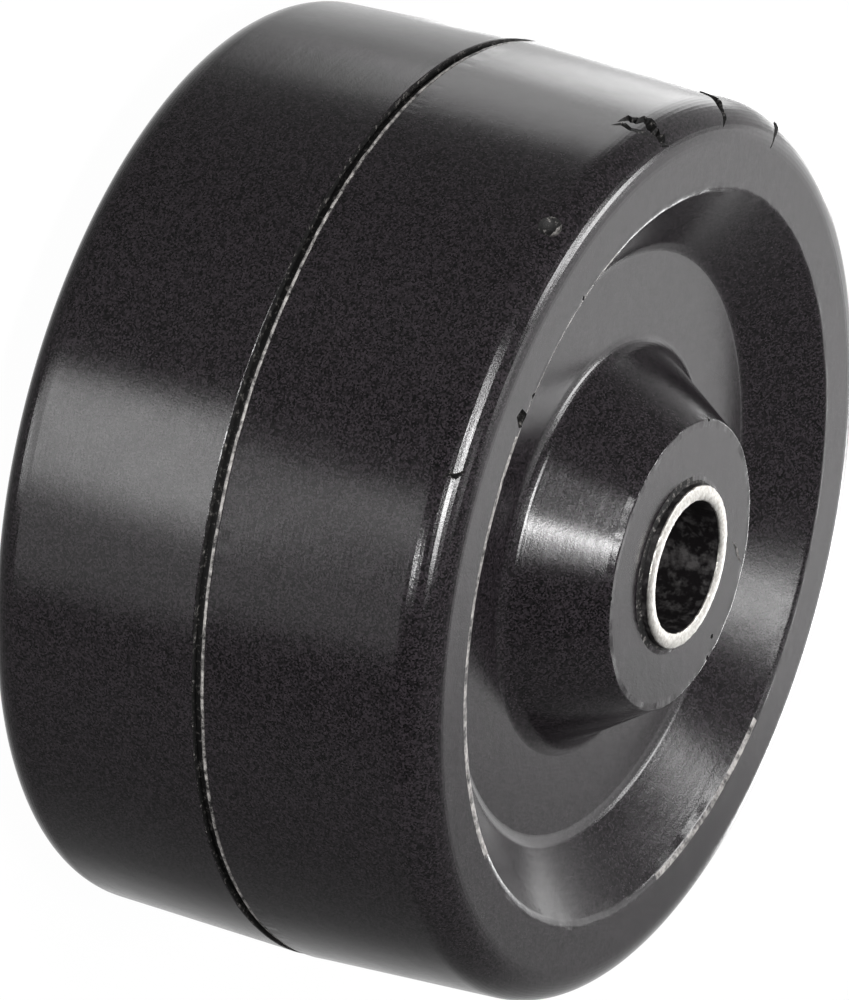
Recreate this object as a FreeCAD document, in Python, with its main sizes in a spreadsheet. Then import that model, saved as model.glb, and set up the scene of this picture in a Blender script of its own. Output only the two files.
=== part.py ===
import FreeCAD, Part
import os
import Sketcher

# Boat trailer roller in millimetres: one solid rubber moulding on a steel tube. The bore lies
# along +Z, the roller stands on one end of the tube, and the origin is at the roller's centre,
# on the bore's axis, in the plane where the two halves of the mould met.

# Driving dimensions. The tread's diameter is at the parting line, where it is largest. A stand
# is how far a face stands out beyond the one around it, and the angles are from the bore's axis.
DIMENSIONS = {
    "tread_diameter": 120.0,
    "tread_width": 63.5,
    "draft_angle": 2.2,
    "shoulder_radius": 5.0,
    "rim_width": 11.0,
    "recess_depth": 7.0,
    "recess_wall_angle": 52.0,
    "recess_edge_radius": 1.5,
    "web_edge_radius": 2.5,
    "hub_stand": 4.55,
    "hub_wall": 8.25,
    "hub_cone_angle": 32.5,
    "hub_root_radius": 2.5,
    "bore_diameter": 17.3,
    "sleeve_wall": 2.0,
    "sleeve_stand": 1.2,
    "sleeve_deburr": 0.25,
    "parting_groove_width": 1.3,
    "parting_groove_floor": 0.8,
    "parting_groove_depth": 0.5,
    "flash_thickness": 0.3,
}

document = FreeCAD.newDocument("boat_trailer_roller")
sheet = document.addObject("Spreadsheet::Sheet", "dimensions")
for row, (name, value) in enumerate(DIMENSIONS.items(), start=1):
    sheet.set(f"A{row}", name)
    sheet.set(f"B{row}", str(value))
    sheet.setAlias(f"B{row}", name)
document.recompute()

# Radii and heights that both pieces or several features share, worked out from the sheet
BORE_RADIUS = "(dimensions.bore_diameter / 2)"
SLEEVE_RADIUS = f"({BORE_RADIUS} + dimensions.sleeve_wall)"
TREAD_RADIUS = "(dimensions.tread_diameter / 2)"
RIM_HEIGHT = "(dimensions.tread_width / 2)"
RIM_RADIUS = f"({TREAD_RADIUS} - {RIM_HEIGHT} * tan(dimensions.draft_angle * 1 deg))"
MOUTH_RADIUS = f"({RIM_RADIUS} - dimensions.rim_width)"
WEB_HEIGHT = f"({RIM_HEIGHT} - dimensions.recess_depth)"
WEB_RADIUS = f"({MOUTH_RADIUS} - dimensions.recess_depth * tan(dimensions.recess_wall_angle * 1 deg))"
HUB_HEIGHT = f"({RIM_HEIGHT} + dimensions.hub_stand)"
HUB_RADIUS = f"({SLEEVE_RADIUS} + dimensions.hub_wall)"
HUB_ROOT_RADIUS = f"({HUB_RADIUS} + ({HUB_HEIGHT} - {WEB_HEIGHT}) * tan(dimensions.hub_cone_angle * 1 deg))"
SLEEVE_LENGTH = f"(2 * ({HUB_HEIGHT} + dimensions.sleeve_stand))"
GROOVE_RADIUS = f"({TREAD_RADIUS} - dimensions.parting_groove_depth)"
MIDDLE = "0"

# How near two sizes are, in millimetres, to be taken as the same one
CLOSE = 0.001


def measured(expression):
    """What an expression over the sheet comes to, in millimetres."""
    return float(sheet.evalExpression(expression.replace("dimensions.", "")))


def new_body(name):
    body = document.addObject("PartDesign::Body", name)
    body.Label = name
    body.Placement = FreeCAD.Placement()
    return body


def new_sketch(body, name, role):
    plane = next(feature for feature in body.Origin.OriginFeatures if feature.Role == role)
    sketch = body.newObject("Sketcher::SketchObject", name)
    sketch.AttachmentSupport = [(plane, "")]
    sketch.MapMode = "FlatFace"
    return sketch


def set_size(sketch, name, expression, *constraint):
    """Adds a dimension to a sketch and ties it to the sheet."""
    number = sketch.addConstraint(Sketcher.Constraint(*constraint, measured(expression)))
    sketch.renameConstraint(number, name)
    sketch.setExpression(f"Constraints.{name}", expression)


def draw_profile(sketch, corners):
    """A closed outline beside the bore's axis. Each corner is its name, radius and height."""
    points = [FreeCAD.Vector(measured(radius), measured(height)) for _, radius, height in corners]
    for start, end in zip(points, points[1:] + points[:1]):
        sketch.addGeometry(Part.LineSegment(start, end))
    for line, (name, radius, height) in enumerate(corners):
        sketch.addConstraint(Sketcher.Constraint("Coincident", line, 1, (line - 1) % len(corners), 2))
        set_size(sketch, f"{name}_radius", radius, "DistanceX", -1, 1, line, 1)
        if height == MIDDLE:
            sketch.addConstraint(Sketcher.Constraint("PointOnObject", line, 1, -1))
        else:
            set_size(sketch, f"{name}_height", height, "DistanceY", -1, 1, line, 1)


def turn_profile(body, kind, name, corners):
    """Turns an outline once round the bore's axis, and adds it or cuts it away."""
    sketch = new_sketch(body, f"{name}_profile", "XZ_Plane")
    draw_profile(sketch, corners)
    feature = body.newObject(kind, name)
    feature.Profile = sketch
    feature.ReferenceAxis = (sketch, ["V_Axis"])
    feature.Angle = 360
    return feature


def dress_edges(body, kind, name, size_property, size, radius, height):
    """Rounds or chamfers the circular edge at that radius and height, and its mirror image."""
    document.recompute()
    base = body.Tip
    edges = []
    for number, edge in enumerate(base.Shape.Edges, start=1):
        if edge.Curve.TypeId != "Part::GeomCircle":
            continue
        same_radius = abs(edge.Curve.Radius - measured(radius)) < CLOSE
        same_height = abs(abs(edge.Curve.Center.z) - measured(height)) < CLOSE
        if same_radius and same_height:
            edges.append(f"Edge{number}")
    feature = body.newObject(kind, name)
    feature.Base = (base, edges)
    feature.setExpression(size_property, size)
    body.Tip = feature


# Steel tube through the hub. Its cut ends stand out of the hub as the faces that meet the bracket.
sleeve = new_body("bore_sleeve")
ring = new_sketch(sleeve, "tube_section", "XY_Plane")
for name, radius in (("outer", SLEEVE_RADIUS), ("inner", BORE_RADIUS)):
    circle = ring.addGeometry(Part.Circle(FreeCAD.Vector(), FreeCAD.Vector(0, 0, 1), measured(radius)))
    ring.addConstraint(Sketcher.Constraint("Coincident", circle, 3, -1, 1))
    set_size(ring, f"{name}_radius", radius, "Radius", circle)
tube = sleeve.newObject("PartDesign::Pad", "tube")
tube.Profile = ring
tube.SideType = "Symmetric"
tube.setExpression("Length", SLEEVE_LENGTH)
for name, radius in (("outer_deburr", SLEEVE_RADIUS), ("inner_deburr", BORE_RADIUS)):
    dress_edges(sleeve, "PartDesign::Chamfer", name, "Size", "dimensions.sleeve_deburr",
                radius, f"{SLEEVE_LENGTH} / 2")

# Rubber moulding. One half is turned from the hub, the web, the recess and the drafted tread.
roller = new_body("roller_body")
half = turn_profile(roller, "PartDesign::Revolution", "moulded_half", [
    ("bore_middle", SLEEVE_RADIUS, MIDDLE),
    ("bore_end", SLEEVE_RADIUS, HUB_HEIGHT),
    ("hub_face", HUB_RADIUS, HUB_HEIGHT),
    ("hub_root", HUB_ROOT_RADIUS, WEB_HEIGHT),
    ("web_edge", WEB_RADIUS, WEB_HEIGHT),
    ("recess_mouth", MOUTH_RADIUS, RIM_HEIGHT),
    ("shoulder", RIM_RADIUS, RIM_HEIGHT),
    ("tread_middle", TREAD_RADIUS, MIDDLE),
])

# The mould's parting line is a shallow groove, with the flash standing in it as a thin fin.
groove_top = f"({TREAD_RADIUS} + dimensions.parting_groove_depth)"
groove = turn_profile(roller, "PartDesign::Groove", "parting_groove", [
    ("floor_middle", GROOVE_RADIUS, MIDDLE),
    ("floor_edge", GROOVE_RADIUS, "dimensions.parting_groove_floor / 2"),
    ("lip", TREAD_RADIUS, "dimensions.parting_groove_width / 2"),
    ("top_edge", groove_top, "dimensions.parting_groove_width / 2"),
    ("top_middle", groove_top, MIDDLE),
])
flash_root = f"({GROOVE_RADIUS} - dimensions.parting_groove_depth)"
flash = turn_profile(roller, "PartDesign::Revolution", "flash_fin", [
    ("root_middle", flash_root, MIDDLE),
    ("root_edge", flash_root, "dimensions.flash_thickness / 2"),
    ("crest_edge", TREAD_RADIUS, "dimensions.flash_thickness / 2"),
    ("crest_middle", TREAD_RADIUS, MIDDLE),
])

# The other half is its mirror image across the parting plane.
both_halves = roller.newObject("PartDesign::Mirrored", "both_halves")
both_halves.Originals = [half, groove, flash]
both_halves.MirrorPlane = (half.Profile[0], ["H_Axis"])
roller.Tip = both_halves

# Rounded edges, from the tread in to the hub
for name, size, radius, height in (
    ("shoulders", "dimensions.shoulder_radius", RIM_RADIUS, RIM_HEIGHT),
    ("recess_edges", "dimensions.recess_edge_radius", MOUTH_RADIUS, RIM_HEIGHT),
    ("web_edges", "dimensions.web_edge_radius", WEB_RADIUS, WEB_HEIGHT),
    ("hub_roots", "dimensions.hub_root_radius", HUB_ROOT_RADIUS, WEB_HEIGHT),
):
    dress_edges(roller, "PartDesign::Fillet", name, "Radius", size, radius, height)
document.recompute()

# Nothing is written unless every feature worked out and both pieces are whole.
for item in document.Objects:
    if "Invalid" in item.State or "Error" in item.State:
        raise RuntimeError(f"{item.Label} failed: {item.State}")
for piece in (roller, sleeve):
    if piece.Shape.isNull() or not piece.Shape.isValid():
        raise RuntimeError(f"{piece.Label} has no valid shape")

os.makedirs("parts", exist_ok=True)
for piece in (roller, sleeve):
    piece.Shape.exportStep(f"parts/{piece.Label}.step")
    print(piece.Label, len(piece.Shape.Solids), round(piece.Shape.Volume, 1), piece.Shape.BoundBox)
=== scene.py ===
import math

import bpy
from mathutils import Matrix, Vector


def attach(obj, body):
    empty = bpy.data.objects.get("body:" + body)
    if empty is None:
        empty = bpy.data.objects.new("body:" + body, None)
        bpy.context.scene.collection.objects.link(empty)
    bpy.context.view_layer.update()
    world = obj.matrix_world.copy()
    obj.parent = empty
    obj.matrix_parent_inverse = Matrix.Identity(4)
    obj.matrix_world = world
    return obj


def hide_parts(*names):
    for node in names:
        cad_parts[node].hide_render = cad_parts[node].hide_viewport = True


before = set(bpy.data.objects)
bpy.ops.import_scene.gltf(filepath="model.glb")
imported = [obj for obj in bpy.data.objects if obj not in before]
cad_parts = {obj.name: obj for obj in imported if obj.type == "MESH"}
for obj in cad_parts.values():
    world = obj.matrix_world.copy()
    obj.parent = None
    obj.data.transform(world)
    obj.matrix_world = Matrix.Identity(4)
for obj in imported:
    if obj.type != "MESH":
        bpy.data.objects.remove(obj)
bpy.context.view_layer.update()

# Steel tube through the hub: plated mild steel tube, sawn to length, its edges broken with a file.
# The rubber is bonded round it, and its two bright ends stand proud as thrust faces.
BORE_RADIUS = 0.00865
SLEEVE_RADIUS = 0.01065
SLEEVE_END = 0.0375
SLEEVE_DEBURR = 0.00025
STEEL_BRIGHT = "#e9e7e2"
STEEL_DULL = "#cbc7c1"
WALL_BLACK = "#141213"
WALL_GREY = "#4e4c4c"
# The side of the bore and the depth of the band that is painted lighter as a painted highlight
PAINTED_HIGHLIGHT_SIDE = (-0.363, -0.932, 0)
PAINTED_HIGHLIGHT_DEPTH = 0.00012
SAWN_END_DEPTH = 0.0004
SAWN_END_RUFFLE = 0.0005

# How near two points of an outline are, in metres, to be the same one
CLOSE = 1e-6


def start_profile(name, radius, height):
    """A new object of one point in the XZ plane, ready to be drawn on from that point."""
    bpy.ops.object.select_all(action="DESELECT")
    bpy.ops.mesh.primitive_plane_add(size=0.001)
    piece = bpy.context.object
    piece.name = piece.data.name = name
    bpy.ops.object.mode_set(mode="EDIT")
    bpy.ops.mesh.select_mode(type="VERT")
    bpy.ops.mesh.merge(type="CENTER")
    bpy.ops.transform.translate(value=(radius, 0, height))
    return piece


def draw_outline(points):
    """Draws a closed outline with straight lines from the first point, where the drawing stands."""
    for (radius, height), (next_radius, next_height) in zip(points, points[1:]):
        bpy.ops.mesh.extrude_region_move(
            TRANSFORM_OT_translate={"value": (next_radius - radius, 0, next_height - height)})
    pick_points(lambda co: any(math.hypot(co.x - r, co.z - z) < CLOSE for r, z in (points[0], points[-1])))
    bpy.ops.mesh.edge_face_add()


def pick_points(test):
    """Selects the vertices of the mesh in edit mode whose place passes the test."""
    bpy.ops.mesh.select_mode(type="VERT")
    bpy.ops.mesh.select_all(action="DESELECT")
    bpy.ops.object.mode_set(mode="OBJECT")
    for vertex in bpy.context.object.data.vertices:
        vertex.select = test(vertex.co)
    bpy.ops.object.mode_set(mode="EDIT")


def pick_faces(test):
    """Selects the faces of the mesh in edit mode that pass the test."""
    bpy.ops.mesh.select_mode(type="FACE")
    bpy.ops.mesh.select_all(action="DESELECT")
    bpy.ops.object.mode_set(mode="OBJECT")
    for face in bpy.context.object.data.polygons:
        face.select = test(face)
    bpy.ops.object.mode_set(mode="EDIT")


def use_material(piece, slot, test):
    """Gives the faces that pass the test the material in that slot."""
    bpy.ops.object.mode_set(mode="EDIT")
    pick_faces(test)
    piece.active_material_index = slot
    bpy.ops.object.material_slot_assign()
    bpy.ops.object.mode_set(mode="OBJECT")


def round_corner(points, corner, radius, segments):
    """Rounds one corner of the outline to a radius, in that many segments."""
    here = Vector(points[corner])
    before = (Vector(points[corner - 1]) - here).normalized()
    after = (Vector(points[(corner + 1) % len(points)]) - here).normalized()
    setback = radius / math.tan(before.angle(after) / 2)
    pick_points(lambda co: math.hypot(co.x - here.x, co.z - here.y) < CLOSE)
    bpy.ops.mesh.bevel(affect="VERTICES", offset_type="OFFSET", offset=setback, segments=segments)


def turn_outline(steps):
    """Spins the outline once round the bore and closes the skin, with its faces outwards."""
    bpy.ops.mesh.select_all(action="SELECT")
    bpy.ops.mesh.spin(steps=steps, angle=2 * math.pi, center=(0, 0, 0), axis=(0, 0, 1), use_auto_merge=True)
    bpy.ops.mesh.select_all(action="SELECT")
    bpy.ops.mesh.remove_doubles(threshold=CLOSE)
    bpy.ops.mesh.normals_make_consistent(inside=False)
    bpy.ops.object.mode_set(mode="OBJECT")


def smooth_faces(angle):
    """Shades smooth up to that angle, with the large faces deciding, so that flat ones look flat."""
    bpy.ops.object.shade_smooth_by_angle(angle=math.radians(angle))
    bpy.ops.object.modifier_add(type="WEIGHTED_NORMAL")
    weights = bpy.context.object.modifiers[-1]
    weights.keep_sharp = True
    bpy.ops.object.modifier_apply(modifier=weights.name)


def ruffle(test, amount, lump, direction="RGB_TO_XYZ"):
    """Moves the points that pass the test to and fro by a fixed pattern of lumps of about that size."""
    piece = bpy.context.object
    bpy.ops.object.mode_set(mode="EDIT")
    pick_points(test)
    bpy.ops.object.vertex_group_assign_new()
    bpy.ops.object.mode_set(mode="OBJECT")
    bpy.ops.object.modifier_add(type="DISPLACE")
    lumps = piece.modifiers[-1]
    lumps.texture = bpy.data.textures.new("lumps", "CLOUDS")
    lumps.texture.cloud_type = "COLOR"
    lumps.texture.noise_scale = lump
    lumps.texture_coords = "LOCAL"
    lumps.direction = direction
    lumps.vertex_group = piece.vertex_groups[-1].name
    lumps.strength = amount
    bpy.ops.object.modifier_apply(modifier=lumps.name)
    bpy.ops.object.vertex_group_remove()


def paint(text):
    """An sRGB hex colour as the linear values that a shader takes."""
    parts = [int(text[i:i + 2], 16) / 255 for i in (1, 3, 5)]
    return [c / 12.92 if c <= 0.04045 else ((c + 0.055) / 1.055) ** 2.4 for c in parts] + [1.0]


def node(tree, kind, settings=None, links=None, **inputs):
    """Adds a node with its settings, socket values and links, and returns it."""
    made = tree.nodes.new(kind)
    for key, value in (settings or {}).items():
        setattr(made, key, value)
    for key, value in inputs.items():
        made.inputs[key.replace("_", " ")].default_value = value
    for key, source in (links or {}).items():
        tree.links.new(source, made.inputs[key])
    return made


def new_material(name):
    """An empty node material, its node tree and its Object coordinates."""
    material = bpy.data.materials.new(name)
    material.use_nodes = True
    tree = material.node_tree
    tree.nodes.clear()
    place = node(tree, "ShaderNodeTexCoord").outputs["Object"]
    return material, tree, place


sleeve_outline = [
    (BORE_RADIUS, SLEEVE_END), (SLEEVE_RADIUS, SLEEVE_END),
    (SLEEVE_RADIUS, -SLEEVE_END), (BORE_RADIUS, -SLEEVE_END),
]
bore_tube = start_profile("bore_tube", *sleeve_outline[0])
draw_outline(sleeve_outline)
for corner in range(4):
    round_corner(sleeve_outline, corner, SLEEVE_DEBURR, segments=2)
turn_outline(steps=256)
for direction, lump in (("X", 0.0007), ("Y", 0.0009)):
    ruffle(lambda co: abs(co.z) > SLEEVE_END - SAWN_END_DEPTH, SAWN_END_RUFFLE, lump, direction)
smooth_faces(angle=35)

# The sawn ends are bare bright steel, a little uneven, so they shine almost white. The saw's grain
# is drawn at half a millimetre, coarser than the real one, so that it shows.
sawn, tree, place = new_material("sawn_bright_steel")
grain = node(tree, "ShaderNodeTexNoise", None, {"Vector": place}, Scale=2200, Detail=3)
tint = node(tree, "ShaderNodeValToRGB", None, {"Fac": grain.outputs["Fac"]})
tint.color_ramp.elements[0].position, tint.color_ramp.elements[0].color = 0.35, paint(STEEL_DULL)
tint.color_ramp.elements[1].position, tint.color_ramp.elements[1].color = 0.6, paint(STEEL_BRIGHT)
bump = node(tree, "ShaderNodeBump", None, {"Height": grain.outputs["Fac"]}, Strength=0.6, Distance=0.00005)
steel = node(tree, "ShaderNodeBsdfPrincipled", None,
             {"Base Color": tint.outputs["Color"], "Normal": bump.outputs["Normal"]},
             Metallic=1.0, Roughness=0.38)
node(tree, "ShaderNodeOutputMaterial", None, {"Surface": steel.outputs["BSDF"]})

# The walls are black with the bonding agent outside and with old grease and rust inside, mottled grey
# in spots of 1.5 mm. A lighter band along one side of the bore, and the outer wall on that side, is a
# painted highlight.
black_wall, tree, place = new_material("primed_greasy_steel_and_painted_highlight")
patches = node(tree, "ShaderNodeTexNoise", None, {"Vector": place}, Scale=700, Detail=5, Roughness=0.65)
# Painted highlight: a lighter band along the side of the bore that faces this way
side = node(tree, "ShaderNodeVectorMath", {"operation": "DOT_PRODUCT"}, {0: place})
side.inputs[1].default_value = PAINTED_HIGHLIGHT_SIDE
painted_highlight = node(tree, "ShaderNodeMapRange", None, {"Value": side.outputs["Value"]},
              From_Min=BORE_RADIUS - PAINTED_HIGHLIGHT_DEPTH, From_Max=BORE_RADIUS, To_Max=0.16)
mottle_and_highlight = node(tree, "ShaderNodeMath", {"operation": "ADD"},
            {0: patches.outputs["Fac"], 1: painted_highlight.outputs["Result"]})
tint = node(tree, "ShaderNodeValToRGB", None, {"Fac": mottle_and_highlight.outputs["Value"]})
tint.color_ramp.elements[0].position, tint.color_ramp.elements[0].color = 0.49, paint(WALL_BLACK)
tint.color_ramp.elements[1].position, tint.color_ramp.elements[1].color = 0.72, paint(WALL_GREY)
bump = node(tree, "ShaderNodeBump", None, {"Height": patches.outputs["Fac"]}, Strength=0.6, Distance=0.0001)
grease = node(tree, "ShaderNodeBsdfPrincipled", None,
              {"Base Color": tint.outputs["Color"], "Normal": bump.outputs["Normal"]}, Roughness=0.34)
node(tree, "ShaderNodeOutputMaterial", None, {"Surface": grease.outputs["BSDF"]})
bore_tube.data.materials.append(sawn)
bore_tube.data.materials.append(black_wall)
use_material(bore_tube, 1, lambda face: abs(face.center.z) < SLEEVE_END - SLEEVE_DEBURR)
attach(bore_tube, "root")
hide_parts("bore_sleeve")

# Roller: one solid moulding of black rubber, pressed in a two-part mould whose halves met at the middle
# of the tread. The flash was torn away there and left a ragged fin in a shallow groove.
TREAD_RADIUS = 0.060
RIM_HEIGHT = 0.03175
DRAFT = math.tan(math.radians(2.2))
SHOULDER_ROUND = 0.005
RIM_WIDTH = 0.011
RECESS_DEPTH = 0.007
RECESS_WALL = math.tan(math.radians(52))
RECESS_EDGE_ROUND = 0.0015
WEB_EDGE_ROUND = 0.0025
HUB_STAND = 0.00455
HUB_WALL = 0.00825
HUB_CONE = math.tan(math.radians(32.5))
HUB_ROOT_ROUND = 0.0025
HUB_EDGE_ROUND = 0.0003

# The parting line: the groove, the ragged bead that stands in it and the narrow gutter beside the bead
GROOVE_DEPTH = 0.0011
GROOVE_REACH = 0.0011
GROOVE_SLOPE = 0.0001
GROOVE_LIP_SINK = 0.00012
GROOVE_LIP_ROUND = 0.00011
GROOVE_LIP_FOOT = 0.00004
GROOVE_SKIN = 0.0004
BEAD_MIDDLE = 0.0004
BEAD_ROUND = 0.00024
BEAD_SINK = 0.00032
BEAD_CREST_SINK = 0.00018
BEAD_FOOT = 0.00003
GUTTER_SINK = 0.00014
GUTTER_REACH = 0.00066
TREAD_EDGE = 0.00085
PLAIN_TREAD = 0.0025

# The rubber's lip round the tube, which is torn on one side, and plain strips beside the rounded edges
TUBE_LIP_HEIGHT = 0.0002
TUBE_LIP_CREST = 0.0004
TUBE_LIP_REACH = 0.0010
TORN_LIP_MIDDLE = 62
TORN_LIP_INNER = 115
TORN_LIP_OUTER = 75
PLAIN_HUB = 0.0020
EDGE_BAND = 0.0009

# Stretches of the front recess's mouth that are painted light grey as a painted highlight: first and last
# angle round the bore, and how far the painted highlight reaches in and out of the mouth's radius
MOUTH_HIGHLIGHT_DROP = 0.0004
MOUTH_PAINTED_HIGHLIGHTS = ((14, 50, 0, 0.0003), (50, 122, -0.0003, 0.00075), (-173, -138, -0.0003, 0.00055))

# Tears and their depth as a share of their width, the pit and the side of it that is painted light as a
# painted highlight, and the chips and nicks. Spots of damage are given in degrees round the bore and in
# millimetres.
GASH_DEPTH = 1.6
GASH_OVERLAP = 1.12
PIT_RADIUS = 0.0017
PIT_LIT_SIDE = Vector((-0.613, -0.089, 0.772))
PIT_LIT_REACH = 0.62
CHIP_DEPTH = 0.003
CHIP_STRETCH = 1.4
NICK_DEPTH = 0.0016
CHIPS = ((47.3, 48.7, 5, 1.25), (43.2, 47.9, 5, 0.5), (25.0, 48.2, 4, 0.35))
NICKS = ((-144.9, 16.9, 0.38), (-152.0, 18.6, 0.4), (82.0, 18.8, 0.35), (-20.0, 18.9, 0.3))
SCRATCH_TURNS = (-114, -98)
RUBBER_BLACK = "#040404"
RUBBER_GREY = "#312c30"
TORN_BLACK = "#080707"
TORN_GREY = "#8b8784"
# Colours of the light grey material: scuffed rubber in the scratch, painted highlights elsewhere
SCUFF_AND_HIGHLIGHT_BLACK = "#1d1b1c"
SCUFF_AND_HIGHLIGHT_GREY = "#b2aeab"

# The skin has the mould's fine grain, dull and glossy patches of about 5 mm, and scuffs that run round
# the tread, 11 mm long and half a millimetre wide. The grain and its specks are drawn at 0.2 mm, coarser
# than the real ones, so that they show.
rubber, tree, place = new_material("moulded_black_rubber")
grain = node(tree, "ShaderNodeTexNoise", None, {"Vector": place}, Scale=4800, Detail=2, Roughness=0.6)
specks = node(tree, "ShaderNodeTexVoronoi", None, {"Vector": place}, Scale=4600)
patches = node(tree, "ShaderNodeTexNoise", None, {"Vector": place}, Scale=220, Detail=5, Roughness=0.6)
drawn = node(tree, "ShaderNodeMapping", None, {"Vector": place})
drawn.inputs["Scale"].default_value = (90, 90, 2200)
scuffs = node(tree, "ShaderNodeTexNoise", None, {"Vector": drawn.outputs["Vector"]}, Scale=1, Detail=3)
tint = node(tree, "ShaderNodeValToRGB", None, {"Fac": specks.outputs["Color"]})
tint.color_ramp.elements[0].position, tint.color_ramp.elements[0].color = 0.22, paint(RUBBER_BLACK)
tint.color_ramp.elements[1].position, tint.color_ramp.elements[1].color = 0.92, paint(RUBBER_GREY)
gloss = node(tree, "ShaderNodeMapRange", None, {"Value": patches.outputs["Fac"]}, To_Min=0.12, To_Max=0.23)
fine = node(tree, "ShaderNodeBump", None, {"Height": grain.outputs["Fac"]}, Strength=1.0, Distance=0.000012)
drag = node(tree, "ShaderNodeBump", None,
            {"Height": scuffs.outputs["Fac"], "Normal": fine.outputs["Normal"]},
            Strength=0.35, Distance=0.00003)
dented = node(tree, "ShaderNodeBump", None,
              {"Height": patches.outputs["Fac"], "Normal": drag.outputs["Normal"]},
              Strength=0.3, Distance=0.00010)
skin = node(tree, "ShaderNodeBsdfPrincipled", None,
            {"Base Color": tint.outputs["Color"], "Roughness": gloss.outputs["Result"],
             "Normal": dented.outputs["Normal"]}, IOR=1.5)
node(tree, "ShaderNodeOutputMaterial", None, {"Surface": skin.outputs["BSDF"]})

# Where the rubber is torn, in the groove and in the tears, it is crumbly and dull, so it looks black
# with a few light crumbs of under a millimetre.
torn, tree, place = new_material("torn_black_rubber")
crumbs = node(tree, "ShaderNodeTexNoise", None, {"Vector": place}, Scale=1500, Detail=3, Roughness=0.7)
tint = node(tree, "ShaderNodeValToRGB", None, {"Fac": crumbs.outputs["Fac"]})
tint.color_ramp.elements[0].position, tint.color_ramp.elements[0].color = 0.56, paint(TORN_BLACK)
tint.color_ramp.elements[1].position, tint.color_ramp.elements[1].color = 0.74, paint(TORN_GREY)
bump = node(tree, "ShaderNodeBump", None, {"Height": crumbs.outputs["Fac"]}, Strength=1.0, Distance=0.0002)
core = node(tree, "ShaderNodeBsdfPrincipled", None,
            {"Base Color": tint.outputs["Color"], "Normal": bump.outputs["Normal"]}, IOR=1.5, Roughness=0.7)
node(tree, "ShaderNodeOutputMaterial", None, {"Surface": core.outputs["BSDF"]})

# Light grey rubber, crumbly at about a millimetre. In the scratch it is scuffed rubber; on the bead's
# trimmed crest, on stretches of the recess's mouth and on one side of the pit it is a painted highlight.
scuff_and_highlight, tree, place = new_material("scuffed_rubber_and_painted_highlight")
crumbs = node(tree, "ShaderNodeTexNoise", None, {"Vector": place}, Scale=900, Detail=4, Roughness=0.7)
tint = node(tree, "ShaderNodeValToRGB", None, {"Fac": crumbs.outputs["Fac"]})
tint.color_ramp.elements[0].position, tint.color_ramp.elements[0].color = 0.38, paint(SCUFF_AND_HIGHLIGHT_BLACK)
tint.color_ramp.elements[1].position, tint.color_ramp.elements[1].color = 0.62, paint(SCUFF_AND_HIGHLIGHT_GREY)
bump = node(tree, "ShaderNodeBump", None, {"Height": crumbs.outputs["Fac"]}, Strength=1.0, Distance=0.0001)
edge_skin = node(tree, "ShaderNodeBsdfPrincipled", None,
                 {"Base Color": tint.outputs["Color"], "Normal": bump.outputs["Normal"]},
                 IOR=1.5, Roughness=0.5)
node(tree, "ShaderNodeOutputMaterial", None, {"Surface": edge_skin.outputs["BSDF"]})

rim_radius = TREAD_RADIUS - RIM_HEIGHT * DRAFT
mouth_radius = rim_radius - RIM_WIDTH
web_height = RIM_HEIGHT - RECESS_DEPTH
web_radius = mouth_radius - RECESS_DEPTH * RECESS_WALL
hub_height = RIM_HEIGHT + HUB_STAND
hub_radius = SLEEVE_RADIUS + HUB_WALL
hub_root_radius = hub_radius + (hub_height - web_height) * HUB_CONE

# The outline from the tube's near end out to the shoulder: radius, height, size of the round on that
# corner and its segments. The plain strips beside the rounds keep the wear there from spreading.
near_half = [
    (SLEEVE_RADIUS, hub_height + TUBE_LIP_HEIGHT, 0, 0),
    (SLEEVE_RADIUS + TUBE_LIP_CREST, hub_height + TUBE_LIP_HEIGHT / 2, 0, 0),
    (SLEEVE_RADIUS + TUBE_LIP_REACH, hub_height, 0, 0),
    (SLEEVE_RADIUS + PLAIN_HUB, hub_height, 0, 0),
    (hub_radius - EDGE_BAND, hub_height, 0, 0),
    (hub_radius, hub_height, HUB_EDGE_ROUND, 3),
    (hub_radius + EDGE_BAND * HUB_CONE, hub_height - EDGE_BAND, 0, 0),
    (hub_root_radius, web_height, HUB_ROOT_ROUND, 8),
    (web_radius, web_height, WEB_EDGE_ROUND, 6),
    (mouth_radius - EDGE_BAND * RECESS_WALL, RIM_HEIGHT - EDGE_BAND, 0, 0),
    (mouth_radius, RIM_HEIGHT, RECESS_EDGE_ROUND, 6),
    (mouth_radius + EDGE_BAND, RIM_HEIGHT, 0, 0),
    (rim_radius, RIM_HEIGHT, SHOULDER_ROUND, 14),
]

# The parting line's outline, from the near half's plain tread over the bead and the groove to the far one.
bead = [(TREAD_RADIUS - BEAD_SINK + BEAD_ROUND * math.cos(math.radians(tilt)),
         BEAD_MIDDLE + BEAD_ROUND * math.sin(math.radians(tilt))) for tilt in range(45, -91, -15)]
parting_line = [
    (TREAD_RADIUS - PLAIN_TREAD * DRAFT, PLAIN_TREAD),
    (TREAD_RADIUS - TREAD_EDGE * DRAFT, TREAD_EDGE),
    (TREAD_RADIUS - GUTTER_SINK, GUTTER_REACH),
    *bead,
    (TREAD_RADIUS - GROOVE_DEPTH, BEAD_MIDDLE - BEAD_ROUND - BEAD_FOOT),
    (TREAD_RADIUS - GROOVE_DEPTH, -GROOVE_REACH + GROOVE_SLOPE),
    (TREAD_RADIUS - GROOVE_LIP_SINK, -GROOVE_REACH),
    (TREAD_RADIUS - GROOVE_LIP_FOOT, -GROOVE_REACH - GROOVE_LIP_ROUND),
    (TREAD_RADIUS - PLAIN_TREAD * DRAFT, -PLAIN_TREAD),
]
far_half = [(radius, -height, edge, segments) for radius, height, edge, segments in reversed(near_half)]
both_halves = near_half + [(radius, height, 0, 0) for radius, height in parting_line] + far_half
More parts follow.
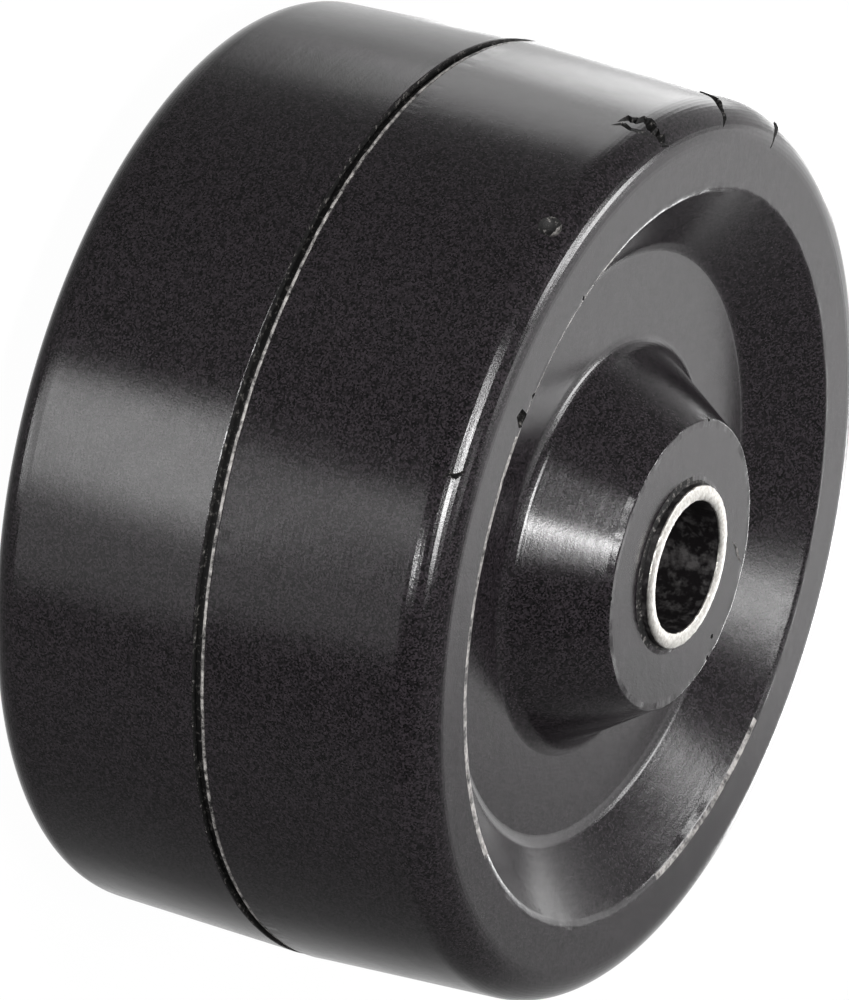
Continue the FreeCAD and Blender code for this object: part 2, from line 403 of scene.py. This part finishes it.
outline = [(radius, height) for radius, height, _, _ in both_halves]
moulding = start_profile("rubber_moulding", *outline[0])
draw_outline(outline)
for corner, (_, _, edge, segments) in enumerate(both_halves):
    if edge:
        round_corner(outline, corner, edge, segments)
turn_outline(steps=720)


def around(co):
    """How far a point is from the bore's axis."""
    return math.hypot(co.x, co.y)


def turn_of(co):
    """The angle of a point round the bore, in degrees."""
    return math.degrees(math.atan2(co.y, co.x))


def on_mouth_edge(co):
    """Whether a point is on a stretch of the front recess's mouth round that is painted light as a painted
    highlight.
    """
    out = around(co) - mouth_radius
    return co.z > RIM_HEIGHT - MOUTH_HIGHLIGHT_DROP and any(
        start < turn_of(co) < end and inner < out < outer for start, end, inner, outer in MOUTH_PAINTED_HIGHLIGHTS)


def on_torn_lip(co):
    """Whether a point is on the part of the lip round the tube that is torn."""
    reach = TORN_LIP_INNER if around(co) < SLEEVE_RADIUS + TUBE_LIP_CREST else TORN_LIP_OUTER
    return co.z > hub_height and abs(turn_of(co) - TORN_LIP_MIDDLE) < reach


for finish in (rubber, torn, scuff_and_highlight):
    moulding.data.materials.append(finish)
use_material(moulding, 1, lambda face: abs(face.center.z) < GROOVE_REACH
             and around(face.center) < TREAD_RADIUS - GROOVE_SKIN)
# The bead's trimmed crest is painted light grey as a painted highlight.
use_material(moulding, 2, lambda face: abs(face.center.z - BEAD_MIDDLE) < BEAD_ROUND
             and around(face.center) > TREAD_RADIUS - BEAD_CREST_SINK)
# Stretches of the mouth's round are painted light grey, a painted highlight.
use_material(moulding, 2, lambda face: on_mouth_edge(face.center))
use_material(moulding, 1, lambda face: on_torn_lip(face.center))

# The whole parting line wanders a little. Then its bead, the groove's edge, the lip round the tube, and
# the edges of the hub and of the recess's mouth are made ragged, each as far as its band reaches.
WANDER_BAND = 0.0013
RAGGED_BAND = 0.0009
BEAD_SKIN = 0.00034
LIP_BAND = 0.0011
HUB_EDGE_BAND = 0.0003
MOUTH_BAND = 0.0006
ruffle(lambda co: abs(co.z) < WANDER_BAND, amount=0.0011, lump=0.023, direction="Z")
ruffle(lambda co: abs(co.z - BEAD_MIDDLE) < RAGGED_BAND and around(co) > TREAD_RADIUS - BEAD_SKIN,
       amount=0.00012, lump=0.0016)
ruffle(lambda co: abs(co.z + GROOVE_REACH) < RAGGED_BAND and around(co) < TREAD_RADIUS,
       amount=0.00016, lump=0.0012, direction="Z")
ruffle(lambda co: around(co) < SLEEVE_RADIUS + LIP_BAND and co.z > hub_height, amount=0.0003, lump=0.0022)
ruffle(lambda co: abs(around(co) - hub_radius) < HUB_EDGE_BAND and co.z > hub_height - HUB_EDGE_BAND,
       amount=0.0002, lump=0.0026)
ruffle(lambda co: abs(around(co) - mouth_radius) < MOUTH_BAND and co.z > RIM_HEIGHT - MOUTH_BAND,
       amount=0.00014, lump=0.0045)


def spot(turn, radius, height):
    """A place given by its angle round the bore in degrees, its radius and its height in millimetres."""
    angle = math.radians(turn)
    return Vector((radius * math.cos(angle), radius * math.sin(angle), height)) / 1000


def gash(marks, outward):
    """A V-shaped cutter along places on the skin, each with half its width there in millimetres."""
    pieces = []
    for (start, half), (end, next_half) in zip(marks, marks[1:]):
        along = (end - start).normalized()
        side = along.cross(outward(start)).normalized()
        turn = Matrix((side, side.cross(along) * -1, along)).transposed()
        bpy.ops.mesh.primitive_cone_add(
            vertices=4, radius1=half / 1000, radius2=next_half / 1000,
            depth=(end - start).length * GASH_OVERLAP, location=(start + end) / 2,
            rotation=turn.to_euler(), scale=(1, GASH_DEPTH, 1))
        pieces.append(bpy.context.object)
    return pieces


def from_shoulder(place):
    """The way out of the shoulder's round at that place."""
    flat = Vector((place.x, place.y, 0)).normalized() * (rim_radius - SHOULDER_ROUND)
    return place - flat - Vector((0, 0, min(place.z, RIM_HEIGHT - SHOULDER_ROUND)))


# Damage: a forked tear, a long one, a notch and a short tear in the shoulder, and a scratch on the hub
bpy.ops.object.select_all(action="DESELECT")
cutters = gash([
    (spot(0.6, 59.1, 25.4), 0.1), (spot(-1.4, 59.0, 26.2), 0.9), (spot(-0.3, 58.9, 27.1), 0.5),
    (spot(-2.6, 58.8, 27.7), 0.7), (spot(-1.9, 58.6, 28.6), 1.0), (spot(-0.6, 58.1, 29.3), 0.6),
    (spot(-1.6, 57.6, 30.1), 1.0), (spot(-1.0, 56.8, 30.8), 0.7), (spot(-2.0, 56.1, 31.3), 0.1),
], from_shoulder)
cutters += gash([
    (spot(1.9, 59.1, 25.2), 0.1), (spot(0.9, 59.0, 26.2), 0.5), (spot(1.6, 58.8, 27.6), 0.4),
    (spot(0.8, 58.4, 29.0), 0.5), (spot(0.2, 57.8, 29.9), 0.1),
], from_shoulder)
cutters += gash([
    (spot(-21.8, 59.1, 25.4), 0.3), (spot(-20.4, 59.0, 26.7), 0.8), (spot(-20.2, 58.7, 28.2), 1.0),
    (spot(-18.9, 58.0, 29.7), 0.6), (spot(-18.6, 57.0, 30.7), 0.5), (spot(-17.4, 55.9, 31.4), 0.1),
], from_shoulder)
cutters += gash([
    (spot(57.8, 57.2, 30.6), 0.15), (spot(58.9, 57.9, 29.8), 0.4), (spot(58.6, 58.3, 29.2), 0.28),
    (spot(59.4, 58.6, 28.6), 0.08),
], from_shoulder)
cutters += gash([
    (spot(-38.0, 58.5, 28.8), 0.3), (spot(-35.8, 57.6, 30.1), 0.6), (spot(-33.8, 56.1, 31.3), 0.25),
    (spot(-32.7, 54.4, 31.75), 0.1),
], from_shoulder)
cutters += gash([
    (spot(-100.0, 14.8, 36.3), 0.05), (spot(-103.5, 15.9, 36.3), 0.12),
    (spot(-107.5, 16.8, 36.3), 0.12), (spot(-110.5, 18.2, 36.3), 0.05),
], lambda place: Vector((0, 0, 1)))

# The pit near the shoulder, the chips in the recess's mouth and the nicks in the hub's face
pit = spot(23.5, 59.3, 28.35)
bpy.ops.mesh.primitive_ico_sphere_add(subdivisions=4, radius=PIT_RADIUS, location=pit)
cutters.append(bpy.context.object)
for turn, radius, sides, size in CHIPS:
    bpy.ops.mesh.primitive_cylinder_add(
        vertices=sides, radius=size / 1000, depth=CHIP_DEPTH, location=spot(turn, radius, 31.75),
        rotation=(0, 0, math.radians(turn)), scale=(CHIP_STRETCH, 1, 1))
    cutters.append(bpy.context.object)
for turn, radius, size in NICKS:
    bpy.ops.mesh.primitive_cylinder_add(
        vertices=5, radius=size / 1000, depth=NICK_DEPTH, location=spot(turn, radius, 36.3))
    cutters.append(bpy.context.object)

# All of them are joined into one tool, which bites the moulding once. What it leaves is torn rubber,
# but for the scratch, which is scuffed light, and one side of the pit, which is painted light as a painted
# highlight.
bpy.ops.object.select_all(action="DESELECT")
for cutter in cutters:
    cutter.select_set(True)
bpy.context.view_layer.objects.active = cutters[0]
bpy.ops.object.join()
damage = bpy.context.object
bpy.ops.object.transform_apply(location=True, rotation=True, scale=True)
bpy.ops.object.mode_set(mode="EDIT")
bpy.ops.mesh.select_all(action="SELECT")
bpy.ops.mesh.intersect_boolean(operation="UNION", use_self=True, solver="EXACT")
bpy.ops.object.mode_set(mode="OBJECT")
damage.data.materials.clear()
for finish in (rubber, torn, scuff_and_highlight):
    damage.data.materials.append(finish)
use_material(damage, 1, lambda face: True)
use_material(damage, 2, lambda face: face.center.z > hub_height - NICK_DEPTH
             and SCRATCH_TURNS[0] < turn_of(face.center) < SCRATCH_TURNS[1])
# One side of the pit is painted light grey, a painted highlight.
use_material(damage, 2, lambda face: (face.center - pit).length < 1.5 * PIT_RADIUS
             and (face.center - pit).dot(PIT_LIT_SIDE) > PIT_LIT_REACH * PIT_RADIUS)
bpy.ops.object.select_all(action="DESELECT")
bpy.context.view_layer.objects.active = moulding
bpy.ops.object.modifier_add(type="BOOLEAN")
bite = moulding.modifiers[-1]
bite.operation = "DIFFERENCE"
bite.solver = "EXACT"
bite.object = damage
bpy.ops.object.modifier_apply(modifier=bite.name)
bpy.data.objects.remove(damage)
smooth_faces(angle=25)

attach(moulding, "root")
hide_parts("roller_body")

# Floor: a plain white board under the lower end of the tube. To the camera it is white, and it keeps
# the roller's soft shadow. It throws no shadow and shows in no reflection, so the lamps that stand below
# it light the roller through it.
FLOOR_WIDTH = 12
BOARD_SHADED = "#303030"
BOARD_WHITE = "#fdfdfd"
bpy.ops.object.select_all(action="DESELECT")
bpy.ops.mesh.primitive_plane_add(size=FLOOR_WIDTH, location=(0, 0, -SLEEVE_END))
floor = bpy.context.object
floor.name = floor.data.name = "studio_floor"
board, tree, _ = new_material("white_board")
ray = node(tree, "ShaderNodeLightPath")
matt = node(tree, "ShaderNodeBsdfDiffuse", None, None, Color=paint(BOARD_SHADED))
glow = node(tree, "ShaderNodeEmission", None, {"Strength": ray.outputs["Is Camera Ray"]},
            Color=paint(BOARD_WHITE))
both = node(tree, "ShaderNodeAddShader")
tree.links.new(matt.outputs["BSDF"], both.inputs[0])
tree.links.new(glow.outputs["Emission"], both.inputs[1])
node(tree, "ShaderNodeOutputMaterial", None, {"Surface": both.outputs["Shader"]})
floor.data.materials.append(board)
floor.visible_shadow = False
floor.visible_glossy = False
floor.visible_diffuse = False

# Camera: a long lens from the front, a quarter turn on its side, so that the tread's far edge is at the
# left of the picture and the roller seems to stand on its tread. Its lens in millimetres, its place in
# metres and its turns in degrees are those at which the roller's circles lie as in the photograph.
FOCAL_LENGTH = 792.24
CAMERA_PLACE = (1.1746, 2.2478, 1.1905)
CAMERA_TURNS = (-28.1388, -61.1801, -86.1918)
lens = bpy.data.cameras.new("long_lens")
lens.lens = FOCAL_LENGTH
lens.sensor_width = 36
lens.clip_end = 100
camera = bpy.data.objects.new("camera", lens)
bpy.context.scene.collection.objects.link(camera)
camera.location = CAMERA_PLACE
camera.rotation_euler = [math.radians(angle) for angle in CAMERA_TURNS]
bpy.context.scene.camera = camera

# How far each lamp stands from the roller's middle, in metres
LAMP_DISTANCE = 0.5


def soft_box(name, across, above, width, height, radiance, aim=(0, 0, 0), grid=None):
    """An oblong lamp that faces the roller. Its place is in degrees to the right of the camera and above
    it, its width and height are degrees of view, and its radiance is its brightness, where 1 is white.
    A grid in front of it keeps its light within that many degrees of its aim."""
    side, rise = math.radians(across), math.radians(above)
    seen = Vector((math.sin(side) * math.cos(rise), math.sin(rise), math.cos(side) * math.cos(rise)))
    turn = camera.rotation_euler.to_matrix()
    direction = turn @ seen
    light = bpy.data.lights.new(name, "AREA")
    light.shape = "RECTANGLE"
    light.size = 2 * LAMP_DISTANCE * math.tan(math.radians(width / 2))
    light.size_y = 2 * LAMP_DISTANCE * math.tan(math.radians(height / 2))
    light.energy = radiance * math.pi * light.size * light.size_y
    if grid:
        half = math.radians(grid)
        light.spread = 2 * half
        light.energy *= (math.tan(half) - half) / math.tan(half)
    lamp = bpy.data.objects.new(name, light)
    bpy.context.scene.collection.objects.link(lamp)
    lamp.location = direction * LAMP_DISTANCE
    facing = (lamp.location - Vector(aim)).normalized()
    level = turn @ Vector((0, 1, 0))
    across_axis = level.cross(facing).normalized()
    lamp.rotation_euler = Matrix((across_axis, facing.cross(across_axis), facing)).transposed().to_euler()
    lamp.visible_camera = False


# Light: soft boxes on either side of the camera, cards to the right of and behind the roller, and the
# white sweep above and behind it.
soft_box("soft_box_left", -64, 8, 30, 22, 2.6)
soft_box("soft_box_left_edge", -52, 5, 8, 26, 3.4)
soft_box("card_left_far", -81, 7, 8, 14, 6.0)
soft_box("card_left_near", -38, 3, 8, 12, 3.0)
soft_box("lamp_left", -22, -9, 6, 4, 80.0)
soft_box("key_right", 21, -4, 15, 4.5, 43.0)
soft_box("key_upper", 30, 4, 10, 12, 34.0)
soft_box("key_top", 33, 15, 11, 9, 14.0)
soft_box("key_lower", 20, -11, 8, 12, 18.0)
soft_box("card_right", 60, -10, 13, 12, 15.0, aim=spot(240, 43.5, 28), grid=10)
soft_box("card_right_edge", 90, 11, 26, 8, 13.0)
soft_box("card_right_far", 82, -3, 8, 8, 3.0)
soft_box("card_back_right", 116, 0, 60, 28, 0.86)
soft_box("sweep_low", 153, -8, 14, 10, 8.0)
soft_box("card_left_low", -58, -12, 28, 24, 0.75)
soft_box("sweep_middle", 163, 13, 30, 11, 2.7)
soft_box("sweep_high", 158, 40, 24, 24, 2.0)
soft_box("sweep_top", 160, 64, 26, 18, 1.4)

# Room: to the camera it is plain white. In the roller it is dim on the lens's side and grows white
# behind the roller, where the white sweep is.
BEHIND_ROLLER = (-0.14, -0.96, -0.25)
ROOM_LEVELS = ((0.15, 0.1), (0.28, 0.2), (0.5, 0.17), (0.75, 0.22), (0.9, 0.6))
scene = bpy.context.scene
scene.view_settings.view_transform = "Standard"
world = bpy.data.worlds.new("white_room")
scene.world = world
world.use_nodes = True
tree = world.node_tree
tree.nodes.clear()
ray = node(tree, "ShaderNodeLightPath")
way = node(tree, "ShaderNodeTexCoord").outputs["Generated"]
towards = node(tree, "ShaderNodeVectorMath", {"operation": "DOT_PRODUCT"}, {0: way})
towards.inputs[1].default_value = BEHIND_ROLLER
depth = node(tree, "ShaderNodeMapRange", None, {"Value": towards.outputs["Value"]}, From_Min=-1.0)
room = node(tree, "ShaderNodeValToRGB", None, {"Fac": depth.outputs["Result"]})
ramp = room.color_ramp
ramp.elements[0].position, ramp.elements[0].color = 0.0, (0.08, 0.08, 0.08, 1)
ramp.elements[1].position, ramp.elements[1].color = 0.975, (1, 1, 1, 1)
for position, value in ROOM_LEVELS:
    ramp.elements.new(position).color = (value, value, value, 1)
glow = node(tree, "ShaderNodeBackground", None, {"Color": room.outputs["Color"]}, Strength=1.0)
white = node(tree, "ShaderNodeBackground", None, None, Color=(1, 1, 1, 1), Strength=1.0)
mix = node(tree, "ShaderNodeMixShader", None, {"Fac": ray.outputs["Is Camera Ray"]})
tree.links.new(glow.outputs["Background"], mix.inputs[1])
tree.links.new(white.outputs["Background"], mix.inputs[2])
node(tree, "ShaderNodeOutputWorld", None, {"Surface": mix.outputs["Shader"]})
